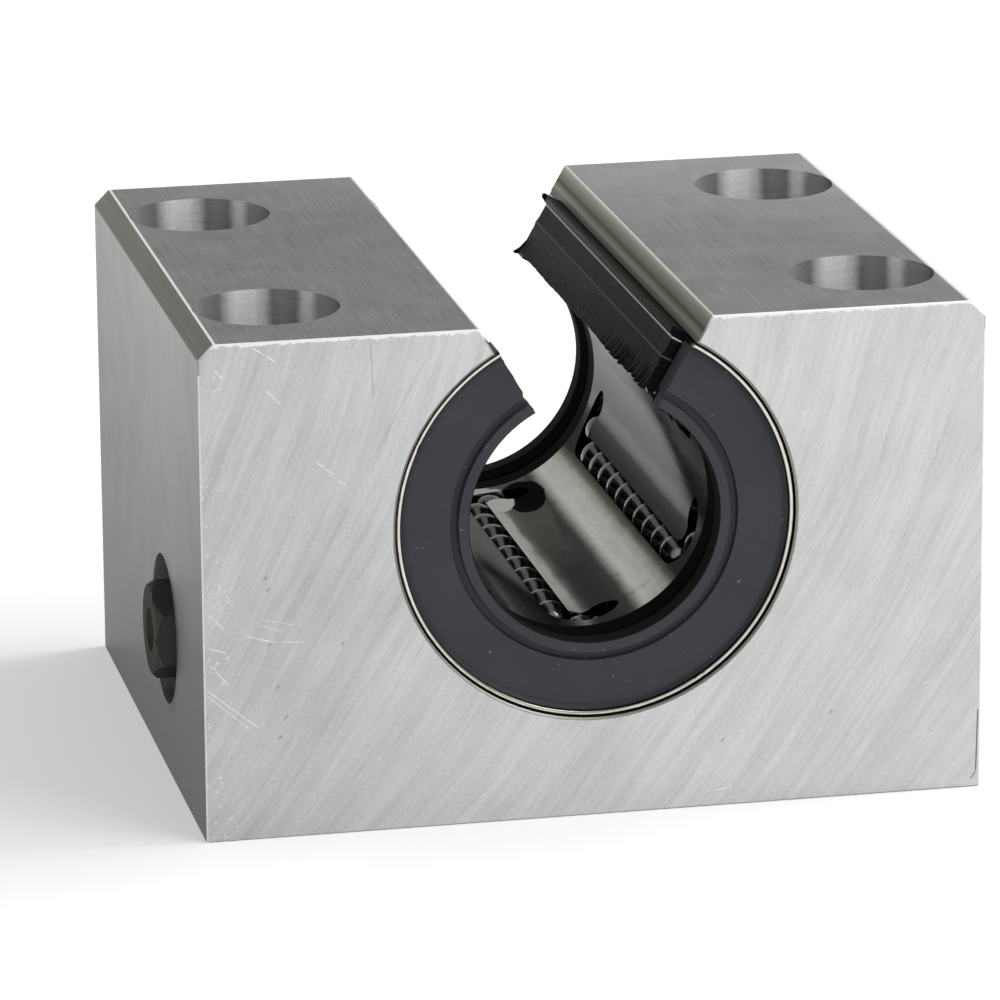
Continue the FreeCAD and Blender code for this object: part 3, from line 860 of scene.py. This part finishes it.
# the outline set along the sleeve, with a worn edge that is torn near the front
def makeStrip(side, sink, seed):
    size = stripSizes
    chance = random.Random(seed)
    phases = [chance.uniform(0, size["phaseReach"]) for _ in range(size["waves"])]
    firstCount, countStep = size["waveCounts"]
    tabStart, tabRise = size["tab"]
    outward = Vector((side * math.sin(slotSlope), 0, math.cos(slotSlope)))
    offFlank = Vector((-side * math.cos(slotSlope), 0, math.sin(slotSlope)))
    build = bmesh.new()
    rows = []
    for station in range(size["stations"] + 1):
        share = 2 * station / size["stations"] - 1
        wave = 0.0
        for k, phase in enumerate(phases):
            wave += math.sin(share * (firstCount + countStep * k) + phase) / (1 + k) / size["waveScale"]
        worn = min(1.0, max(0.0, (size["tornFrom"] - share) / size["tornOver"]))
        rough = chance.uniform(-1, 1)
        shift = wave * size["wear"] + rough * (size["wear"] + worn * size["torn"]) * size["roughShare"]
        for place, depth in size["tears"]:
            shift += max(0.0, 1 - abs(share - place) / size["tearReach"]) * depth * size["tearDepth"]
        rise = (wave - rough) * size["riseShare"] * (size["wear"] + worn * size["torn"])
        atEnd = share > tabStart and side > 0
        if not atEnd:
            shift += size["cutBack"]
            rise -= size["cutDown"]
        outline = stripOutline(max(shift, size["furthestOut"]), rise, tabRise if atEnd else 0.0)
        middle = Vector((0, share * halfSleeve, boreAxis))
        rows.append([
            build.verts.new(middle + outward * out + offFlank * (stand - sink)) for out, stand in outline
        ])
    for first, second in zip(rows, rows[1:]):
        for i in range(len(first)):
            j = (i + 1) % len(first)
            build.faces.new((first[i], first[j], second[j], second[i]))
    build.faces.new(rows[0])
    build.faces.new(reversed(rows[-1]))
    bmesh.ops.triangulate(build, faces=[face for face in build.faces if len(face.verts) > 4])
    bmesh.ops.recalc_face_normals(build, faces=build.faces)
    mesh = bpy.data.meshes.new("strip")
    build.to_mesh(mesh)
    build.free()
    return shadeMesh(mesh, size["crease"])


stripLook = {
    "rubber": tone(9, 10, 11),
    # the line tone is for painted highlights
    "line": tone(225, 226, 220),
    "scuff": tone(72, 74, 72),
    "dust": tone(150, 152, 150),
    "scuffs": ((3.0, 0.16, 3.0), 3.0, 0.7),
    "combed": ((0.5, 2.6, 0.5), 3.0, 0.7),
    "grain": (3.0, 3.0, 0.65),
    "tones": {"base": 1.0, "grain": 0.8, "scuffs": 0.8},
    "scuffComb": 0.6,
    "scuffLimits": (0.12, 0.34),
    "scuffStrength": 0.4,
    "dustPatches": ((1.8,), (0.19, 0.25)),
    "dustStrength": 0.4,
    "beadShade": (0.1, 0.4),  # mm over which the bead darkens, and its tone then
    "lineBand": (0.07, 0.06, 0.05),  # the painted highlight line: mm in from the bead's foot, half width, soft edge
    "lineBreaks": (-0.22, -0.1),
    "lineStrength": 0.95,
    "ribBand": (0.05, 0.08),
    "ribStrength": 0.12,
    "roughness": {"base": 0.5, "grain": 0.3},
    "reliefGrain": 0.6,
    "bump": (0.06 * mm, 0.6),
    "specular": 0.12,
}


def makeStripRubber():
    look = stripLook
    size = stripSizes
    paint = newPaint("stripRubber")
    place = paint.place()
    x, z = paint.axes(place, "XZ")
    scuffs = paint.streaks(place, *look["scuffs"])
    combed = paint.streaks(place, *look["combed"])
    grain = paint.noise(place, *look["grain"])
    colour = paint.shade(look["rubber"], weigh(look["tones"], grain=grain, scuffs=scuffs))
    scuffed = paint.step(scuffs + combed * look["scuffComb"], *look["scuffLimits"])
    colour = paint.mix(scuffed * look["scuffStrength"], colour, look["scuff"])
    dust = paint.patches(place, *look["dustPatches"])
    colour = paint.mix(dust * look["dustStrength"], colour, look["dust"])
    out = abs(x) * math.sin(slotSlope) + (z - boreAxis / mm) * math.cos(slotSlope)
    bead = math.sqrt(bearingRadius ** 2 - size["beadStand"] ** 2)
    beadFoot = (bead - size["beadWidth"]) / mm
    beadSoft, beadTone = look["beadShade"]
    colour = paint.shade(colour, paint.slide(out, beadFoot, beadFoot + beadSoft, 1.0, beadTone))
    # painted highlights: a bright line along the bead's foot, broken by the grain, and a faint one on the rib
    inset, half, soft = look["lineBand"]
    line = paint.band(out, beadFoot - inset, half, soft) * paint.step(grain, *look["lineBreaks"])
    rib = paint.band(out, (bead - size["ribDrop"]) / mm, *look["ribBand"])
    colour = paint.mix(line * look["lineStrength"] + rib * look["ribStrength"], colour, look["line"])
    roughness = weigh(look["roughness"], grain=grain)
    return paint.finish(look, colour, roughness, 0.0, scuffs + grain * look["reliefGrain"])


materials = {
    "machined_aluminium": makeAluminium(),
    "ground_steel": makePlain("groundSteel"),
    "polished_steel": makePolishedSteel(),
    "black_plastic": makePlain("blackPlastic"),
    "case_steel": makeCaseSteel(),
    "seal_rubber": makeSealRubber(),
    "strip_rubber": makeStripRubber(),
    "nipple_steel": makeNippleSteel(),
    "spring_steel": makePlain("springSteel"),
    "ball_steel": makePlain("ballSteel"),
}
print("materials made:", len(materials))


# a new object in the scene
def put(name, data):
    made = bpy.data.objects.new(name, data)
    bpy.context.scene.collection.objects.link(made)
    return made


def link(name, mesh, slotName, body, *nodes):
    piece = put(name, mesh)
    piece.data.materials.clear()
    piece.data.materials.append(materials[slotName])
    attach(piece, body)
    if nodes:
        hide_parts(*nodes)
    return piece


mergeReach = 0.0005 * mm


# a CAD node's form with its triangles joined and shaded smooth up to a crease angle
def smoothForm(node, crease):
    build = bmesh.new()
    build.from_mesh(frame["nodes"][node].data)
    for layer in list(build.loops.layers.float_vector.values()):
        build.loops.layers.float_vector.remove(layer)
    bmesh.ops.remove_doubles(build, verts=build.verts, dist=mergeReach)
    bmesh.ops.dissolve_degenerate(build, edges=build.edges, dist=mergeReach)
    points = [vertex.co.copy() for vertex in build.verts]
    build.verts.index_update()
    faces = [[vertex.index for vertex in face.verts] for face in build.faces]
    build.free()
    mesh = bpy.data.meshes.new(node + "Form")
    mesh.from_pydata(points, [], faces)
    return shadeMesh(mesh, crease)


# CAD node: piece, slot, crease angle
smoothNodes = {
    "housing_block": ("housing", "machined_aluminium", 25),
    "outer_sleeve": ("sleeve", "ground_steel", 30),
    "ball_retainer": ("retainer", "polished_steel", 25),
    "end_ring_front": ("endRingFront", "black_plastic", 25),
    "end_ring_rear": ("endRingRear", "black_plastic", 25),
    "seal_case_front": ("sealCaseFront", "case_steel", 35),
    "seal_case_rear": ("sealCaseRear", "case_steel", 35),
    "lip_seal_front": ("lipSealFront", "seal_rubber", 30),
    "lip_seal_rear": ("lipSealRear", "seal_rubber", 30),
    "lube_nipple": ("nipple", "nipple_steel", 25),
    "nipple_check_ball": ("nippleCheckBall", "ball_steel", 60),
    "nipple_spring": ("nippleSpring", "spring_steel", 60),
}


# wear of the front seal's rubber at the left of the slot
sealWear = {
    "nicks": [(0.80, 0.16, 0.12), (0.24, 0.30, 0.14), (0.52, 0.08, 0.06)],  # place from the lip, depth, width
    "pitch": 0.25 * mm,
    "rounds": 5,
    "flankReach": 0.01 * mm,
    "ripple": (0.03, 47),
}


def wearSeal(mesh, crease):
    offFlank = Vector((math.cos(slotSlope), 0, math.sin(slotSlope)))
    outward = Vector((-math.sin(slotSlope), 0, math.cos(slotSlope)))
    centre = Vector((0, 0, boreAxis))
    build = bmesh.new()
    build.from_mesh(mesh)
    reach = max(offFlank.dot(vertex.co - centre) for vertex in build.verts if vertex.co.x < 0)

    def onFlank(vertex):
        return vertex.co.x < 0 and offFlank.dot(vertex.co - centre) > reach - sealWear["flankReach"]

    for _ in range(sealWear["rounds"]):
        edges = [edge for edge in build.edges if all(onFlank(vertex) for vertex in edge.verts)]
        edges = [edge for edge in edges if edge.calc_length() > 2 * sealWear["pitch"]]
        bmesh.ops.subdivide_edges(build, edges=edges, cuts=1)
    worn = [vertex for vertex in build.verts if onFlank(vertex)]
    heights = [outward.dot(vertex.co - centre) for vertex in worn]
    rippleDepth, rippleCount = sealWear["ripple"]
    for vertex, height in zip(worn, heights):
        share = (height - min(heights)) / (max(heights) - min(heights))
        depth = rippleDepth * (1 + math.sin(share * rippleCount))
        for place, deep, wide in sealWear["nicks"]:
            depth += deep * max(0.0, 1 - abs(share - place) / wide)
        vertex.co -= offFlank * depth * mm
    build.to_mesh(mesh)
    build.free()
    shadeMesh(mesh, crease)


# the nipple's hexagon is turned to stand on a corner, with a flat to the front
def turnNipple(mesh, degrees):
    home = Matrix.Translation(nippleAxis)
    mesh.transform(home @ Matrix.Rotation(math.radians(degrees), 4, "X") @ home.inverted())


smoothPieces = {}
for node, (pieceName, slotName, crease) in smoothNodes.items():
    mesh = smoothForm(node, crease)
    body = "check_ball" if node == "nipple_check_ball" else "block"
    if node == "lube_nipple":
        turnNipple(mesh, nippleLook["turn"])
    if node == "lip_seal_front":
        wearSeal(mesh, crease)
    smoothPieces[node] = link(pieceName, mesh, slotName, body, node)
print("smooth forms of", len(smoothNodes), "CAD nodes")

# the check ball squeezes its spring against the shoulder at the spring's inner end; here only the ball's
# travel and the share of the spring left are worked out, and the spring gets a mesh of its own
joints = {joint["name"]: joint for joint in frame["record"]["behaviour"]["joints"]}
ballTravel = joints["check_ball_slide"]["range_m"][1]
springLow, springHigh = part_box("nipple_spring")
springLeft = 1 - ballTravel / (springHigh.x - springLow.x)
spring = smoothPieces["nipple_spring"]
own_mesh(spring)


# one geometry tree makes every row of balls
ballRows = {"circuits": 5, "perRow": 10, "segments": 32, "rings": 16}


def makeRowTree():
    tree = bpy.data.node_groups.new("ballRow", "GeometryNodeTree")
    for name, kind in (
        ("Count", "NodeSocketInt"), ("Start", "NodeSocketVector"), ("Pitch", "NodeSocketVector"),
        ("Radius", "NodeSocketFloat"), ("Material", "NodeSocketMaterial"),
    ):
        tree.interface.new_socket(name=name, in_out="INPUT", socket_type=kind)
    tree.interface.new_socket(name="Geometry", in_out="OUTPUT", socket_type="NodeSocketGeometry")
    nodes = tree.nodes
    given = nodes.new("NodeGroupInput")
    line = nodes.new("GeometryNodeMeshLine")
    ball = nodes.new("GeometryNodeMeshUVSphere")
    ball.inputs["Segments"].default_value = ballRows["segments"]
    ball.inputs["Rings"].default_value = ballRows["rings"]
    smooth = nodes.new("GeometryNodeSetShadeSmooth")
    place = nodes.new("GeometryNodeInstanceOnPoints")
    realize = nodes.new("GeometryNodeRealizeInstances")
    paintBalls = nodes.new("GeometryNodeSetMaterial")
    out = nodes.new("NodeGroupOutput")
    for start, output, end, socket in (
        (given, "Count", line, "Count"), (given, "Start", line, "Start Location"),
        (given, "Pitch", line, "Offset"), (given, "Radius", ball, "Radius"),
        (ball, "Mesh", smooth, "Geometry"), (line, "Mesh", place, "Points"),
        (smooth, "Geometry", place, "Instance"), (place, "Instances", realize, "Geometry"),
        (realize, "Geometry", paintBalls, "Geometry"), (given, "Material", paintBalls, "Material"),
        (paintBalls, "Geometry", out, "Geometry"),
    ):
        tree.links.new(start.outputs[output], end.inputs[socket])
    return tree


# the modifier's result as a plain mesh
def grown(tree, values):
    holder = put("holder", bpy.data.meshes.new("holder"))
    modifier = holder.modifiers.new("grow", "NODES")
    modifier.node_group = tree
    for item in tree.interface.items_tree:
        if item.item_type == "SOCKET" and item.in_out == "INPUT" and item.name in values:
            modifier[item.identifier] = values[item.name]
    holder.update_tag()
    bpy.context.view_layer.update()
    graph = bpy.context.evaluated_depsgraph_get()
    mesh = bpy.data.meshes.new_from_object(holder.evaluated_get(graph), depsgraph=graph)
    holder.modifiers.clear()
    bpy.data.objects.remove(holder)
    return mesh


rowTree = makeRowTree()
for circuit in range(1, ballRows["circuits"] + 1):
    for node, body, pieceName in (
        ("load_balls_", "load_row_", "loadBalls"),
        ("return_balls_", "return_row_", "returnBalls"),
        ("turn_balls_front_", "front_turn_", "frontTurnBall"),
        ("turn_balls_rear_", "rear_turn_", "rearTurnBall"),
    ):
        low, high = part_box(f"{node}{circuit}")
        radius = (high.x - low.x) / 2
        middle = (low + high) / 2
        run = (high.y - low.y) - 2 * radius
        count = ballRows["perRow"] if run > radius else 1
        pitch = run / (count - 1) if count > 1 else 0.0
        mesh = grown(rowTree, {
            "Count": count, "Start": middle - Vector((0, pitch * (count - 1) / 2, 0)),
            "Pitch": Vector((0, pitch, 0)), "Radius": radius, "Material": materials["ball_steel"],
        })
        link(f"{pieceName}{circuit}", mesh, "ball_steel", f"{body}{circuit}", f"{node}{circuit}")
print("ball rows made:", ballRows["circuits"] * 4)


link("slotSealRight", makeStrip(1, 0.0, 11), "strip_rubber", "block", "slot_seal_right")
link("slotSealLeft", makeStrip(-1, stripSizes["sink"], 23), "strip_rubber", "block", "slot_seal_left")
print("slot strips made")


studio = {
    "floorSize": 6.0,
    "floorTone": 0.86,
    "floorRoughness": 0.8,
    "floorSpecular": 0.1,
    "floorLift": 0.34,
    # place, width and power of each lamp, and where they aim
    "lamps": {
        "key": (Vector((0.95, 0.12, 0.85)), 0.7, 9.5),
        "fill": (Vector((-0.3, -1.3, 0.7)), 1.2, 1.6),
        "top": (Vector((0.5, -0.45, 0.8)), 0.5, 2.6),
    },
    "aim": Vector((0, 0, 0.02)),
    "worldLow": 0.72,
    "worldHigh": 0.44,
    "worldTurn": 0.7,
}


def makeFloor():
    half = studio["floorSize"] / 2
    corners = [(-half, -half, 0), (half, -half, 0), (half, half, 0), (-half, half, 0)]
    mesh = bpy.data.meshes.new("floor")
    mesh.from_pydata(corners, [], [(0, 1, 2, 3)])
    paint = newPaint("paleFloor")
    grey = studio["floorTone"]
    surface = paint.node("BsdfPrincipled", None, {
        "Base Color": (grey, grey, grey, 1),
        "Roughness": studio["floorRoughness"],
        "Specular IOR Level": studio["floorSpecular"],
    })
    seen = 0.0
    for kind in ("Camera", "Glossy", "Transmission"):
        seen = paint.node("LightPath", output=f"Is {kind} Ray") + seen
    lift = paint.maths("MINIMUM", seen, 1.0) * studio["floorLift"]
    glow = paint.node("Emission", None, {"Color": (1, 1, 1, 1), "Strength": lift})
    both = paint.node("AddShader", None, {0: surface, 1: glow})
    paint.node("OutputMaterial", None, {"Surface": both})
    mesh.materials.append(paint.owner)
    floor = put("floor", mesh)


def makeLamp(name, place, size, power):
    data = bpy.data.lights.new(name, "AREA")
    data.shape = "SQUARE"
    data.size = size
    data.energy = power
    lamp = put(name, data)
    lamp.location = place
    aim = studio["aim"] - place
    lamp.rotation_euler = aim.to_track_quat("-Z", "Y").to_euler()


# a room that is pale low down and darker overhead
def makeWorld():
    world = bpy.data.worlds.new("studio")
    paint = Paint(world)
    [z] = paint.axes(paint.node("TexCoord", output="Generated"), "Z")
    strength = paint.slide(z, 0.0, studio["worldTurn"], studio["worldLow"], studio["worldHigh"])
    light = paint.node("Background", None, {"Strength": strength})
    paint.node("OutputWorld", None, {"Surface": light})
    bpy.context.scene.world = world


makeFloor()
for lampName, (lampPlace, lampSize, lampPower) in studio["lamps"].items():
    makeLamp(lampName, lampPlace, lampSize, lampPower)
makeWorld()
print("studio lit")

camera = {
    "azimuth": -11.97,
    "elevation": 15.64,
    "roll": -0.35,
    "distance": 0.6654,
    "target": Vector((0, 0, 0.0255)),
    "lens": 234.1,
    "shiftX": -0.0255,
    "shiftY": -0.0241,
    "sensor": 36,
    "clip": (0.01, 20),
}


def makeCamera():
    azimuth, elevation, roll = (math.radians(camera[name]) for name in ("azimuth", "elevation", "roll"))
    back = Vector((
        math.sin(azimuth) * math.cos(elevation),
        -math.cos(azimuth) * math.cos(elevation),
        math.sin(elevation),
    ))
    right = (-back).cross(Vector((0, 0, 1))).normalized()
    up = right.cross(-back)
    across = right * math.cos(roll) + up * math.sin(roll)
    upright = up * math.cos(roll) - right * math.sin(roll)
    turn = Matrix((across, upright, back)).transposed().to_4x4()
    data = bpy.data.cameras.new("camera")
    data.sensor_width = camera["sensor"]
    data.lens = camera["lens"]
    data.shift_x = camera["shiftX"]
    data.shift_y = camera["shiftY"]
    data.clip_start, data.clip_end = camera["clip"]
    view = put("camera", data)
    view.matrix_world = Matrix.Translation(camera["target"] + back * camera["distance"]) @ turn
    bpy.context.scene.camera = view


makeCamera()
bpy.context.scene.view_settings.view_transform = "Standard"
